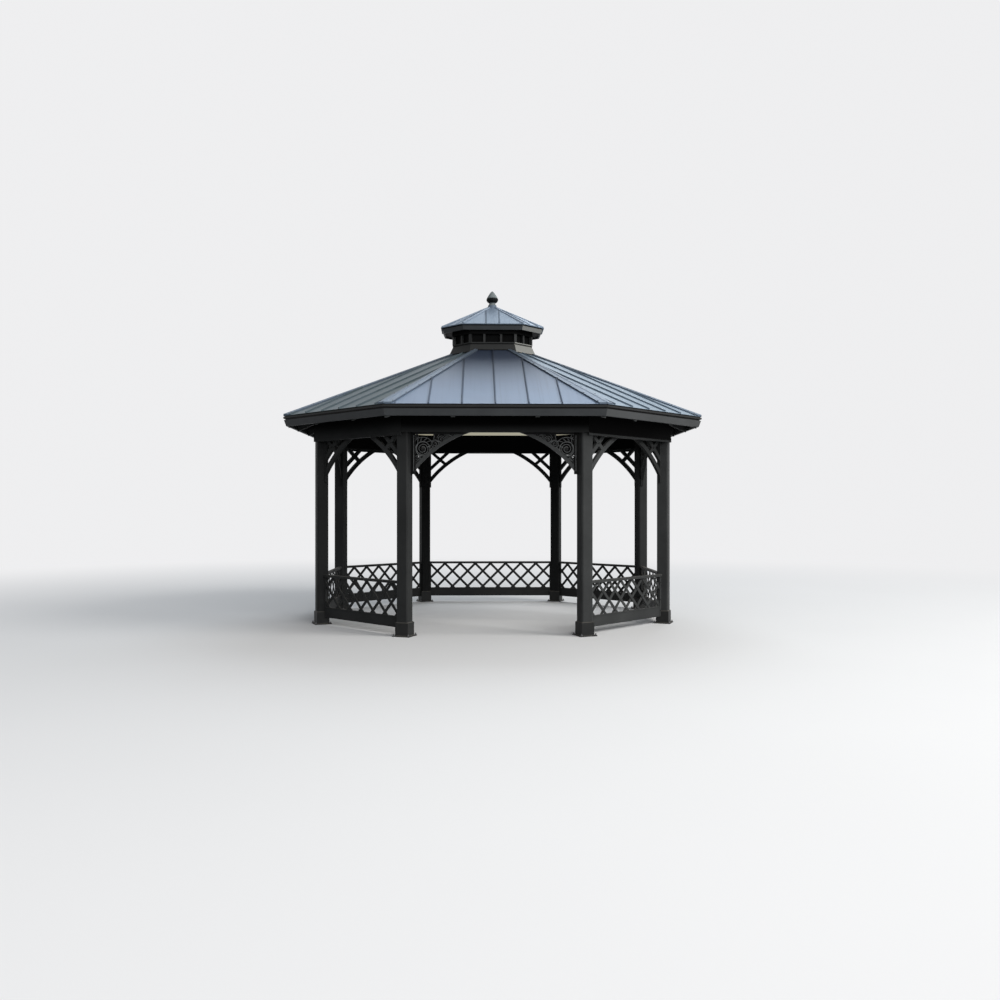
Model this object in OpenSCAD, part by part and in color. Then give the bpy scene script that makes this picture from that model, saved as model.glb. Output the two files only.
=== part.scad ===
// Open park bandstand on a long octagon: eight posts, seven low lattice
// panels, scrolled entrance brackets, standing-seam roof and a small lantern.
// Millimetres. The open entrance bay faces -Y, the floor is Z = 0.

/* [Plan] */
// length of each of the six equal bays, post centre to post centre
bay = 1644; // [1500:2:2400]
// extra half length of the two long sides, over the posts
stretch = 231; // [0:1:400]
// the same for the roof, for each unit of its apothem
stretch_rate = 0.1104; // [0:0.0002:0.2]
// apothem of the roof edge, on the entrance side
eave_apothem = 2408; // [2200:2:3200]

/* [Heights] */
// underside of the ring beams
beam_bottom = 2382; // [2100:2:2800]
// top of the ring beams and of the posts
beam_top = 2650; // [2400:2:3100]
// top of the wall plate that carries the rafters
plate_top = 2738; // [2500:2:3200]
// top edge of the roof sheets at the eaves
eave_z = 2666; // [2450:1:3200]
// underside of the eaves board
fascia_bottom = 2535; // [2300:1:3000]
// top of the low panels
panel_top = 638; // [500:2:1000]
// top of the kick boards
kick_top = 222; // [150:2:300]
// underside of the kick boards
kick_bottom = 90; // [40:5:150]

/* [Posts] */
// side of the post section
post_w = 144; // [100:2:200]
// leg of the chamfer on the post corners
post_chamfer = 14; // [5:1:30]
// side of the plinth casing
plinth_w = 164; // [150:2:240]
// top of the plinth casing
plinth_top = 168; // [100:1:300]
// side of the foot plate
foot_w = 216; // [180:2:300]
// thickness of the foot plate
foot_t = 10; // [8:1:20]
// distance from the post centre to each anchor hole, along the plate sides
anchor_offset = 94; // [80:1:130]
// radius of the anchor holes
anchor_r = 7; // [5:0.5:12]

/* [Roof] */
// rise of the entrance slope for each unit of run
roof_slope = 0.4776; // [0.3:0.005:0.8]
// thickness of the roof sheets
sheet_t = 3; // [1:0.5:6]
// thickness of the boards under the sheets
board_t = 20; // [12:1:30]
// height of the standing seams and of the hip caps
seam_h = 17; // [10:1:40]
// width of the standing seams
seam_w = 9; // [4:1:20]
// width of each half of a hip cap, along the eaves
cap_w = 92; // [50:2:160]
// the same at the curb
cap_top = 34; // [20:2:160]
// vertical depth of the rafters
rafter_d = 150; // [80:5:200]

/* [Lantern] */
// apothem of the curb
curb_apothem = 400; // [250:1:500]
// extra half length of its long sides
curb_stretch = 120; // [0:1:300]
// apothem of the ring of small lantern posts
mullion_apothem = 385; // [200:1:450]
// extra half length of that ring's long sides
mullion_stretch = 140; // [0:1:300]
// top of the sill
sill_top = 3719; // [3500:1:4200]
// top of the small posts, where the head begins
head_bottom = 3833; // [3600:1:4300]
// underside of the lantern eaves board
lantern_bottom = 3878; // [3600:1:4400]
// apothem of the lantern roof edge
lantern_apothem = 503; // [400:1:700]
// extra half length of the long sides of the lantern roof
lantern_stretch = 200; // [0:1:300]
// top of the lantern roof edge
lantern_z = 3954; // [3700:1:4500]
// point of the lantern roof
lantern_apex = 4296; // [4000:1:5000]

/* [Hidden] */
$fn = 48;
T = 1 + sqrt(2);
bay_a = bay / 2 * T;
eave_stretch = stretch_of(eave_apothem);
post_face = post_w / 2 / cos(22.5);
curb_z = eave_z + (eave_apothem - curb_apothem) * roof_slope;
roof_in = curb_apothem - 20;
BAYS = [-90, -45, 0, 45, 90, 135, 180, 225];
CORNERS = [-67.5, -22.5, 22.5, 67.5, 112.5, 157.5, 202.5, 247.5];
boss_top = lantern_apex - 2;
scroll_rim = [1100, -1276];
CHARCOAL = "#33363a";
DARK = "#232527";
ROOF = "#5d6b80";
BOARDS = "#2a2724";
PALE = "#e4ddcb";

// Plan helpers

function stretch_of(a) = stretch_rate * a;
function is_long(ang) = cos(ang) == 0;
function half_of(ang) = bay / 2 + (is_long(ang) ? stretch : 0);

function ring_points(a, s) = [
    [a / T + s, -a], [a + s, -a / T], [a + s, a / T], [a / T + s, a],
    [-a / T - s, a], [-a - s, a / T], [-a - s, -a / T], [-a / T - s, -a]];

// moves to the middle of a bay's side, with x pointing outwards
module at_bay(ang, s = stretch) {
    translate([s * sign(cos(ang)), 0, 0])
        rotate([0, 0, ang])
            children();
}

module at_corner(ang, s = stretch) {
    translate([s * sign(cos(ang)), 0, 0])
        rotate([0, 0, ang])
            children();
}

// a solid octagon of the plan's form
module deck(a, z0, z1, s = stretch) {
    translate([0, 0, z0])
        linear_extrude(z1 - z0)
            polygon(ring_points(a, s));
}

// an octagonal ring of the plan's form
module ring(a_in, a_out, z0, z1, s = stretch) {
    difference() {
        deck(a_out, z0, z1, s);
        deck(a_in, z0 - 1, z1 + 1, s);
    }
}

// an octagon that is a0 at the height z0 and a1 at the height z1
module taper(a0, z0, a1, z1, s) {
    polyhedron(
        points = concat([for (q = ring_points(a0, s)) [q[0], q[1], z0]],
            [for (q = ring_points(a1, s)) [q[0], q[1], z1]]),
        faces = concat([[0, 1, 2, 3, 4, 5, 6, 7], [15, 14, 13, 12, 11, 10, 9, 8]],
            [for (i = [0:7]) [i, i + 8, (i + 1) % 8 + 8, (i + 1) % 8]]));
}

module rod(p, q, r) {
    d = q - p;
    translate(p)
        rotate([0, acos(d[2] / norm(d)), atan2(d[1], d[0])])
            cylinder(h = norm(d), r = r, $fn = 16);
}

// Posts, plinths and foot plates

module post_section(w, c) {
    h = w / 2;
    polygon([[h, c - h], [h, h - c], [h - c, h], [c - h, h],
        [-h, h - c], [-h, c - h], [c - h, -h], [h - c, -h]]);
}

module post(ang) {
    color(CHARCOAL)
        at_corner(ang)
            translate([bay_a / cos(22.5), 0, foot_t])
                linear_extrude(beam_top - foot_t)
                    post_section(post_w, post_chamfer);
}

// what the posts and their casings take out of the pieces between them
module post_room() {
    for (ang = CORNERS)
        at_corner(ang)
            translate([bay_a / cos(22.5), 0, 0]) {
                linear_extrude(plate_top)
                    post_section(post_w, post_chamfer);
                linear_extrude(plinth_top)
                    square(plinth_w, center = true);
            }
}

module foot_plates() {
    color(DARK)
        for (ang = CORNERS)
            at_corner(ang)
                translate([bay_a / cos(22.5), 0, 0])
                    linear_extrude(foot_t)
                        difference() {
                            square(foot_w, center = true);
                            for (x = [-1, 1])
                                for (y = [-1, 1])
                                    translate([x * anchor_offset, y * anchor_offset])
                                        circle(r = anchor_r, $fn = 32);
                        }
}

// side view of the casing, with its bevelled top
module plinth_profile() {
    h = plinth_w / 2;
    polygon([[-h, foot_t], [h, foot_t], [h, plinth_top - 10],
        [h - 10, plinth_top], [10 - h, plinth_top], [-h, plinth_top - 10]]);
}

module post_plinths() {
    color(CHARCOAL)
        for (ang = CORNERS)
            at_corner(ang)
                translate([bay_a / cos(22.5), 0, 0])
                    difference() {
                        intersection() {
                            rotate([90, 0, 0])
                                linear_extrude(plinth_w, center = true)
                                    plinth_profile();
                            rotate([90, 0, 90])
                                linear_extrude(plinth_w, center = true)
                                    plinth_profile();
                        }
                        linear_extrude(plate_top)
                            post_section(post_w, post_chamfer);
                    }
}

// Ring beams and wall plate

module ring_beams() {
    color(DARK)
        difference() {
            ring(bay_a - 42, bay_a + 42, beam_bottom, beam_top);
            for (ang = CORNERS)
                at_corner(ang)
                    translate([bay_a / cos(22.5), 0, 0]) {
                        linear_extrude(plate_top)
                            post_section(post_w, post_chamfer);
                    }
        }
}

module wall_plate() {
    color(DARK)
        ring(bay_a - 55, bay_a + 55, beam_top, plate_top);
}

// Low panels: kick board, lattice of flat bars, flat top rail

module lattice_bars(half, z0, z1, turn, step, phase) {
    intersection() {
        translate([-half - 6, z0 - 6])
            square([2 * half + 12, z1 - z0 + 12]);
        for (k = [-8:8])
            translate([phase + k * step, z1])
                rotate([0, 0, turn])
                    square([4 * (z1 - z0), 36], center = true);
    }
}

module panel(ang) {
    reach = half_of(ang);
    half = reach - post_face - 24;
    step = is_long(ang) ? 243 : 232;
    phase = is_long(ang) ? 0 : step / 2;
    z1 = panel_top - 32;
    color(CHARCOAL)
        difference() {
            at_bay(ang)
                translate([bay_a, 0, 0])
                    rotate([90, 0, 90]) {
                        // frame of two stiles, kick board and its cap strip
                        for (s = [-1, 1])
                            translate([s * (half + 24) - 24, kick_bottom, -15])
                                cube([48, z1 - kick_bottom, 30]);
                        translate([-half - 2, kick_bottom, -12])
                            cube([2 * half + 4, kick_top - 13 - kick_bottom, 24]);
                        translate([-half - 2, kick_top - 14, -17])
                            cube([2 * half + 4, 14, 34]);
                        // top rail, with its edges eased
                        translate([-half - 52, z1, 0])
                            rotate([90, 0, 90])
                                linear_extrude(2 * half + 104)
                                    polygon([[0, -27], [26, -27], [32, -21], [32, 21], [26, 27], [0, 27]]);
                        // two layers of bars
                        translate([0, 0, -7.5])
                            linear_extrude(8)
                                lattice_bars(half, kick_top, z1, 45, step, phase);
                        translate([0, 0, -0.5])
                            linear_extrude(8)
                                lattice_bars(half, kick_top, z1, -45, step, phase);
                    }
            post_room();
        }
}

// Brackets. Drawn with the post face at x = 0 and the beam's underside at y = 0

module sickle(c, r, t) {
    translate(c)
        difference() {
            circle(r = r + t, $fn = 240);
            circle(r = r, $fn = 240);
        }
}

module plain_bracket_form() {
    rim = [1283, -1459];
    // curved rim
    intersection() {
        translate([-20, -570])
            square([700, 570]);
        sickle(rim, 1597, 56);
    }
    // leg on the post and strip under the beam
    translate([-20, -560])
        square([44, 560]);
    difference() {
        translate([-20, -14])
            square([652, 14]);
        translate(rim)
            circle(r = 1598, $fn = 240);
    }
    // inner bar, and the strut out of the corner
    difference() {
        intersection() {
            translate([0, -440])
                square([520, 440]);
            union() {
                translate([170, -116])
                    rotate([0, 0, 43])
                        translate([-330, -25])
                            square([600, 50]);
                translate([170, -116])
                    rotate([0, 0, -41])
                        translate([-230, -24])
                            square([460, 48]);
            }
        }
        translate(rim)
            circle(r = 1622, $fn = 240);
    }
}

// one bracket stood up at the end of a bay; side is 1 or -1
module at_bracket(ang, side, thick) {
    difference() {
        at_bay(ang)
            translate([bay_a, side * (half_of(ang) - post_face), beam_bottom])
                rotate([0, 0, side > 0 ? 180 : 0])
                    rotate([90, 0, 90])
                        translate([0, 0, -thick / 2])
                            linear_extrude(thick)
                                children();
        post_room();
    }
}

module plain_brackets() {
    color(CHARCOAL)
        for (ang = [-45, 0, 45, 90, 135, 180, 225])
            for (side = [-1, 1])
                at_bracket(ang, side, 38)
                    plain_bracket_form();
}

// flat strip wound inwards from radius r0 to r1
function coil(r0, r1, turns, n) = [for (i = [0:n]) [r0 + (r1 - r0) * i / n, 360 * turns * i / n]];

module scroll(c, r, start, turns, w) {
    path = coil(r, r * 0.28, turns, 44);
    n = len(path) - 1;
    translate(c)
        rotate([0, 0, start]) {
            polygon(concat(
                [for (i = [0:n]) (path[i][0] + w / 2) * [cos(path[i][1]), sin(path[i][1])]],
                [for (i = [n:-1:0]) (path[i][0] - w / 2) * [cos(path[i][1]), sin(path[i][1])]]));
            translate((r * 0.28) * [cos(360 * turns), sin(360 * turns)])
                polygon(round_points(w * 0.8, 14));
        }
}

function round_points(r, n) = [for (i = [0:n - 1]) r * [cos(360 * i / n + 2), sin(360 * i / n + 2)]];

module eye(c, r, w) {
    n = r > 30 ? 40 : 24;
    translate(c)
        difference() {
            polygon(round_points(r + w / 2, n));
            polygon(round_points(r - w / 2, n));
        }
}

// part of a ring, between two directions
module arc_band(c, r, w, a0, a1) {
    n = 28;
    translate(c)
        polygon(concat(
            [for (i = [0:n]) (r + w / 2) * [cos(a0 + (a1 - a0) * i / n), sin(a0 + (a1 - a0) * i / n)]],
            [for (i = [n:-1:0]) (r - w / 2) * [cos(a0 + (a1 - a0) * i / n), sin(a0 + (a1 - a0) * i / n)]]));
}

// a pointed leaf of length l and width w about its middle
module leaf(c, turn, l, w) {
    r = (l * l + w * w) / (4 * w);
    translate(c)
        rotate([0, 0, turn])
            intersection() {
                translate([0, r - w / 2])
                    circle(r = r, $fn = 96);
                translate([0, w / 2 - r])
                    circle(r = r, $fn = 96);
            }
}

module scroll_bracket_form() {
    intersection() {
        translate([-20, -495])
            square([750, 495]);
        sickle(scroll_rim, 1337, 40);
    }
    // slotted stile on the post and strip under the beam
    difference() {
        translate([-20, -492])
            square([66, 492]);
        for (y = [-236, -420])
            translate([11, y])
                square([12, 170]);
    }
    difference() {
        translate([-20, -26])
            square([720, 26]);
        translate(scroll_rim)
            circle(r = 1338, $fn = 240);
    }
}

// thin plate that closes the slots and the two narrow ends of the bracket
module scroll_web() {
    difference() {
        union() {
            translate([-20, -492])
                square([60, 486]);
            translate([30, -470])
                square([120, 172]);
            translate([256, -160])
                square([370, 150]);
        }
        translate(scroll_rim)
            circle(r = 1357, $fn = 240);
    }
}

module scroll_work() {
    // large scroll in its ring, under an arc that springs from the stile
    eye([134, -197], 83, 15);
    scroll([134, -197], 76, 140, 2, 12);
    arc_band([134, -197], 135, 12, 36, 134);
    for (d = [52, 76, 100, 122])
        leaf([134, -197] + 110 * [cos(d), sin(d)], d - 38, 62, 15);
    // run of scrolls up to the tip
    eye([276, -137], 44, 13);
    scroll([276, -137], 38, 20, 1.25, 10);
    eye([354, -88], 40, 12);
    scroll([354, -88], 34, 200, 1.25, 9);
    eye([432, -59], 31, 11);
    scroll([432, -59], 24, 27, 1, 8);
    eye([489, -43], 19, 10);
    eye([530, -36], 9, 7);
    // run of scrolls down the stile
    eye([78, -303], 30, 11);
    scroll([78, -303], 23, 250, 1, 8);
    eye([64, -362], 15, 9);
    eye([66, -47], 17, 9);
    // leaves between the scrolls, the rim and the strip
    leaf([205, -170], 24, 76, 22);
    leaf([236, -196], 48, 66, 18);
    leaf([122, -312], 4, 48, 17);
    leaf([98, -345], 40, 44, 14);
    leaf([266, -58], 78, 82, 18);
    leaf([311, -50], 58, 66, 17);
    leaf([330, -142], 24, 56, 15);
    leaf([393, -36], 12, 44, 13);
    leaf([462, -28], 4, 40, 10);
}

module scroll_bracket(side) {
    color(CHARCOAL) {
        at_bracket(-90, side, 40)
            scroll_bracket_form();
        at_bracket(-90, side, 22)
            scroll_work();
        at_bracket(-90, side, 8)
            scroll_web();
    }
}

// Roof

// distance from the middle of the plan to a side of the roof octagon of apothem a
function out_of(ang, a) = a + stretch_of(a) * abs(cos(ang));
// the middle of that side, along it
function mid_of(ang, a) = -sin(2 * ang) / sqrt(2) * stretch_of(a);
// half of its length
function side_of(ang, a) = a / T + (is_long(ang) ? stretch_of(a) : 0);
function pitch_of(ang) = atan(roof_slope / (1 + stretch_rate * abs(cos(ang))));
// plan run of the whole slope, and the apothem at v up the slope
function len_of(ang) = (out_of(ang, eave_apothem) - out_of(ang, roof_in)) / cos(pitch_of(ang));
function a_at(ang, v) = eave_apothem + (roof_in - eave_apothem) * v / len_of(ang);

// moves to a bay's slope: x runs down the slope from the eaves, z is its face
module on_slope(ang) {
    rotate([0, 0, ang])
        translate([out_of(ang, eave_apothem), 0, eave_z])
            rotate([0, pitch_of(ang), 0])
                children();
}

// a point on the slope: v up it, and so far in from one of its hips
function hip_at(ang, v, side, inset) =
    [-v, mid_of(ang, a_at(ang, v)) + side * (side_of(ang, a_at(ang, v)) - inset)];

// width of half a hip cap at v up the slope
function cap_at(ang, v) = cap_w + (cap_top - cap_w) * v / len_of(ang);

// how far up the slope a seam at u runs before it meets a hip cap
function seam_stop(ang, u, side) =
    let (e = side * (hip_at(ang, 0, side, cap_w + 10)[1] - u),
        f = side * (hip_at(ang, 1000, side, cap_at(ang, 1000) + 10)[1] - u))
    f >= e ? 1e5 : 1000 * e / (e - f);
function seam_len(ang, u) = min(len_of(ang), seam_stop(ang, u, 1), seam_stop(ang, u, -1));

module slope_plate(ang, gap, z0, z1, v0, v1) {
    translate([0, 0, z0])
        linear_extrude(z1 - z0)
            polygon([hip_at(ang, v0, 1, gap), hip_at(ang, v1, 1, gap),
                hip_at(ang, v1, -1, gap), hip_at(ang, v0, -1, gap)]);
}

// the room of the curb, which the roof is cut round
module curb_room() {
    deck(curb_apothem, 2000, 5000, curb_stretch);
}

module roof_facet(ang) {
    rows = is_long(ang) ? [for (k = [-2:2]) k * 377] : [for (k = [-3:2]) (k + 0.5) * 340];
    color(ROOF)
        difference() {
            on_slope(ang)
                slope_plate(ang, 16, -sheet_t, 0, 0, len_of(ang));
            curb_room();
        }
    color(ROOF)
        difference() {
            on_slope(ang)
                for (row = rows) {
                    u = mid_of(ang, eave_apothem) + row;
                    if (seam_len(ang, u) > 60)
                        translate([-seam_len(ang, u), u - seam_w / 2, -1])
                            cube([seam_len(ang, u) - 6, seam_w, seam_h + 1]);
                }
            apron_form(1);
        }
}

module roof_boards() {
    color(BOARDS)
        difference() {
            for (ang = BAYS)
                on_slope(ang)
                    slope_plate(ang, 12, -sheet_t - board_t, -sheet_t, 22, len_of(ang));
            curb_room();
        }
}

// caps of folded sheet over the hips, as high as the seams, with a roll along the fold
module hip_caps() {
    p = ring_points(eave_apothem, eave_stretch);
    q = ring_points(roof_in, stretch_of(roof_in));
    rise = (eave_apothem - roof_in) * roof_slope;
    color(ROOF)
        difference() {
            for (i = [0:7]) {
                on_slope(BAYS[i])
                    hip_flat(BAYS[i], 1);
                on_slope(BAYS[(i + 1) % 8])
                    hip_flat(BAYS[(i + 1) % 8], -1);
                rod([p[i][0], p[i][1], eave_z + 11], [q[i][0], q[i][1], eave_z + rise + 11], 11);
            }
            curb_room();
            apron_form(1);
            translate([0, 0, eave_z - 40])
                ring(eave_apothem - 2, eave_apothem + 60, 0, 100, eave_stretch);
        }
}

module hip_flat(ang, side) {
    v1 = len_of(ang);
    linear_extrude(seam_h)
        polygon([hip_at(ang, 0, side, 0), hip_at(ang, v1, side, 0),
            hip_at(ang, v1, side, cap_top), hip_at(ang, 0, side, cap_w)]);
}

// the space under the boards of one slope
module below_boards(ang) {
    on_slope(ang)
        translate([-3400, -3000, -sheet_t - board_t - 3000])
            cube([4400, 6000, 3000]);
}

// plan sector of bay i, from hip line to hip line
module sector(i) {
    far = ring_points(3000, stretch_of(3000));
    near = ring_points(1, stretch_of(1));
    translate([0, 0, 2000])
        linear_extrude(2500)
            polygon([near[(i + 7) % 8], far[(i + 7) % 8], far[i], near[i]]);
}

module hip_rafters() {
    p = ring_points(eave_apothem, eave_stretch);
    q = ring_points(roof_in, stretch_of(roof_in));
    rise = (eave_apothem - roof_in) * roof_slope;
    color(DARK)
        for (i = [0:7]) {
            d = p[i] - q[i];
            hip = atan(rise / norm(d));
            difference() {
                intersection() {
                    translate([p[i][0], p[i][1], eave_z])
                        rotate([0, hip, atan2(d[1], d[0])])
                            translate([-2600, -30, -(31 + rafter_d) * cos(hip)])
                                cube([2700, 60, rafter_d + 20]);
                    below_boards(BAYS[i]);
                    below_boards(BAYS[(i + 1) % 8]);
                    deck(eave_apothem - 62, 2000, 4000, eave_stretch);
                }
                curb_room();
                wall_plate();
            }
        }
}

module common_rafters() {
    color(DARK)
        difference() {
            for (i = [0:7])
                for (s = [-1, 1])
                    intersection() {
                        rafter_stick(BAYS[i], s * (is_long(BAYS[i]) ? 480 : 370));
                        sector(i);
                        deck(eave_apothem - 62, 2000, 4000, eave_stretch);
                    }
            wall_plate();
            hip_rafters();
        }
}

module rafter_stick(ang, u) {
    d = rafter_d * cos(pitch_of(ang));
    on_slope(ang)
        translate([-len_of(ang), mid_of(ang, eave_apothem) + u - 25, -sheet_t - board_t - d])
            cube([len_of(ang) + 200, 50, d]);
}

// board that leans in towards its foot, square to the rafters' ends
module eaves_fascia() {
    a = eave_apothem;
    color(CHARCOAL) {
        difference() {
            taper(a - 34, fascia_bottom, a - 8, eave_z - 54, eave_stretch);
            taper(a - 62, fascia_bottom - 1, a - 62, eave_z, eave_stretch);
        }
        ring(a - 62, a - 24, eave_z - 54, eave_z - 34, eave_stretch);
    }
}

module eaves_drip() {
    a = eave_apothem;
    color(CHARCOAL) {
        ring(a - 62, a, eave_z - 34, eave_z - 15, eave_stretch);
        ring(a - 62, a - 16, eave_z - 16, eave_z - 3.5, eave_stretch);
    }
}

// Lantern

// curb wall, with an apron board whose foot follows the roof just above it
module lantern_curb() {
    c = curb_apothem;
    color(CHARCOAL) {
        ring(c - 36, c, curb_z - 185, sill_top - 13, curb_stretch);
        difference() {
            apron_form(0);
            deck(c - 10, 3400, 3900, curb_stretch);
            translate([0, 0, 14])
                point_roof(eave_apothem, eave_stretch, eave_z, eave_z + eave_apothem * roof_slope);
        }
    }
}

module apron_form(more) {
    c = curb_apothem + more;
    taper(c + 80, sill_top - 164, c + 20, sill_top - 31, curb_stretch);
}

module lantern_sill() {
    color(CHARCOAL)
        ring(curb_apothem - 42, curb_apothem + 24, sill_top - 13, sill_top, curb_stretch);
}

module lantern_posts() {
    h = head_bottom - sill_top;
    color(CHARCOAL) {
        for (ang = CORNERS)
            at_corner(ang, mullion_stretch)
                translate([mullion_apothem / cos(22.5) - 18, -18, sill_top])
                    cube([36, 36, h]);
        // two between on the long sides and one on each of the others
        for (ang = BAYS)
            for (u = is_long(ang) ? [-113, 113] : [0])
                at_bay(ang, mullion_stretch)
                    translate([mullion_apothem - 16, u - 15, sill_top])
                        cube([30, 30, h]);
    }
}

// head over the small posts, the soffit, and a dark lining behind the posts
module lantern_head() {
    m = mullion_apothem;
    color(DARK) {
        ring(m - 26, m + 24, head_bottom, lantern_bottom + 16, mullion_stretch);
        ring(m - 26, m - 20, sill_top, head_bottom + 2, mullion_stretch);
        difference() {
            deck(lantern_apothem - 58, lantern_bottom + 15, lantern_bottom + 28, lantern_stretch);
            deck(m - 26, lantern_bottom, lantern_z, mullion_stretch);
        }
    }
}

// eaves board that leans in towards its foot, with a recess above it
module lantern_fascia() {
    a = lantern_apothem;
    color(CHARCOAL) {
        difference() {
            taper(a - 41, lantern_bottom, a - 19, lantern_z - 24, lantern_stretch);
            taper(a - 61, lantern_bottom - 1, a - 47, lantern_z, lantern_stretch);
        }
        ring(a - 50, a - 34, lantern_z - 26, lantern_z - 4, lantern_stretch);
    }
}

module point_roof(a, s, z0, z1) {
    polyhedron(
        points = concat([for (q = ring_points(a, s)) [q[0], q[1], z0]], [[0, 0, z1]]),
        faces = concat([[0, 1, 2, 3, 4, 5, 6, 7]], [for (i = [0:7]) [(i + 1) % 8, i, 8]]));
}

module lantern_roof() {
    a = lantern_apothem;
    color(ROOF) {
        difference() {
            union() {
                deck(a, lantern_z - 10, lantern_z, lantern_stretch);
                point_roof(a, lantern_stretch, lantern_z, lantern_apex);
                lantern_rolls();
            }
            translate([0, 0, -14])
                point_roof(a - 12, lantern_stretch, lantern_z, lantern_apex);
            translate([-100, -100, boss_top])
                cube([200, 200, 200]);
        }
        // flat seat for the finial
        translate([0, 0, lantern_apex - 44])
            cylinder(h = boss_top - lantern_apex + 44, r = 60);
    }
}

// hip rolls, and two standing seams on each side that run up to them
module lantern_rolls() {
    p = ring_points(lantern_apothem, lantern_stretch);
    top = [0, 0, lantern_apex - 1];
    for (q = p) {
        a = [q[0], q[1], lantern_z + 1];
        rod(a + (top - a) * 0.015, a + (top - a) * 0.93, 11);
    }
    for (ang = BAYS) {
        out = lantern_apothem + lantern_stretch * abs(cos(ang));
        mid = -sin(2 * ang) / sqrt(2) * lantern_stretch;
        half = lantern_apothem / T + (is_long(ang) ? lantern_stretch : 0);
        tilt = atan((lantern_apex - lantern_z) / out);
        for (s = [-88, 88]) {
            u = mid + s;
            share = 1 - (abs(u) + 24) / abs(mid + sign(u) * half);
            if (share > 0.1)
                rotate([0, 0, ang])
                    translate([out, 0, lantern_z])
                        rotate([0, tilt, 0])
                            translate([-share * out / cos(tilt), u - 4, -3])
                                cube([share * out / cos(tilt) - 6, 8, 11]);
        }
    }
}

module finial() {
    color(CHARCOAL)
        translate([0, 0, boss_top])
            rotate_extrude($fn = 40)
                polygon([[0, 0], [56, 0], [56, 10], [50, 17], [42, 25], [40, 33], [52, 43],
                    [68, 55], [78, 69], [82, 84], [78, 99], [67, 122], [53, 145],
                    [38, 168], [24, 186], [12, 198], [0, 205]]);
}

// slim battens on the wall plate of the three bays at the back
module light_batten() {
    color(PALE)
        for (ang = [45, 90, 135])
            at_bay(ang)
                translate([bay_a - 55 - 34, 30 - half_of(ang), beam_top + 3])
                    cube([34, 2 * half_of(ang) - 60, 58]);
}

// Node table

post(247.5);  // post_front_left
post(-67.5);  // post_front_right
post(-22.5);  // post_right_front
post(22.5);  // post_right_back
post(67.5);  // post_back_right
post(112.5);  // post_back_left
post(157.5);  // post_left_back
post(202.5);  // post_left_front
foot_plates();
post_plinths();
ring_beams();
wall_plate();
panel(225);  // panel_front_left
panel(180);  // panel_left
panel(135);  // panel_back_left
panel(90);  // panel_back
panel(45);  // panel_back_right
panel(0);  // panel_right
panel(-45);  // panel_front_right
scroll_bracket(-1);  // scroll_bracket_left
scroll_bracket(1);  // scroll_bracket_right
plain_brackets();
roof_facet(-90);  // roof_front
roof_facet(-45);  // roof_front_right
roof_facet(0);  // roof_right
roof_facet(45);  // roof_back_right
roof_facet(90);  // roof_back
roof_facet(135);  // roof_back_left
roof_facet(180);  // roof_left
roof_facet(225);  // roof_front_left
roof_boards();
hip_caps();
hip_rafters();
common_rafters();
eaves_fascia();
eaves_drip();
lantern_curb();
lantern_sill();
lantern_posts();
lantern_head();
lantern_fascia();
lantern_roof();
finial();
light_batten();
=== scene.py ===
# %% [markdown]
# # A park bandstand
# The building arrives as a fixed frame of true-to-size solids. This lesson dresses
# it: paint, coated sheet and stained boards first, then the small fastenings that
# hold a real one together, which are modelled by hand.

# %% Load the frame
import bpy
import math
from mathutils import Matrix, Vector


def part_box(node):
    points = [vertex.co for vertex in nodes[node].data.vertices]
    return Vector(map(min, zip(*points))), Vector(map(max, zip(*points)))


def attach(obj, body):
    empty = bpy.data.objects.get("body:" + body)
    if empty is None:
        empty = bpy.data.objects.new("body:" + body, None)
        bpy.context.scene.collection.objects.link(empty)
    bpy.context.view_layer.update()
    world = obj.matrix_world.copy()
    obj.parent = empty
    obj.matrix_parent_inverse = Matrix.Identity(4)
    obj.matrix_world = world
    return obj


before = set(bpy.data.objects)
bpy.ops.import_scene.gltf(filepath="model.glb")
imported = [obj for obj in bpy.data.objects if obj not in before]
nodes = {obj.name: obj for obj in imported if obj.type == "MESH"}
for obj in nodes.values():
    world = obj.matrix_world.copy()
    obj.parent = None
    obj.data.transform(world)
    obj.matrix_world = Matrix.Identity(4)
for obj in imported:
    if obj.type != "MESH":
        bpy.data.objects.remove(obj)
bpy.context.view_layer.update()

# %% [markdown]
# The camera stands some ten metres in front of the entrance at eye level, a little to
# the left of the middle, and looks almost straight ahead. A lens of about 33 mm takes
# in the whole width. The horizon is a touch below the middle of the picture, which a
# small vertical shift gives without tilting the camera, so that the posts stay upright.

# %% Camera
EYE = Vector((-0.192, -12.609, 1.495))
TURN, LENS = 0.0215, 32.72
SHIFT = (0.002, 0.0079)


def add_camera():
    bpy.ops.object.select_all(action="DESELECT")
    bpy.ops.object.camera_add(location=EYE, rotation=(math.pi / 2, 0, -TURN))
    camera = bpy.context.object
    camera.data.sensor_fit = "HORIZONTAL"
    camera.data.sensor_width = 36
    camera.data.lens = LENS
    camera.data.shift_x, camera.data.shift_y = SHIFT
    camera.data.clip_end = 200
    bpy.context.scene.camera = camera
    return camera


camera = add_camera()
print("camera", camera.data.lens, "mm")

# %% [markdown]
# Shader maths reads best as plain arithmetic. This class wraps one output socket, so
# that adding or multiplying two of them writes the Math node. Every other node comes
# from one method, which sets its options first and then fills its sockets.

# %% A socket that does arithmetic


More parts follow.
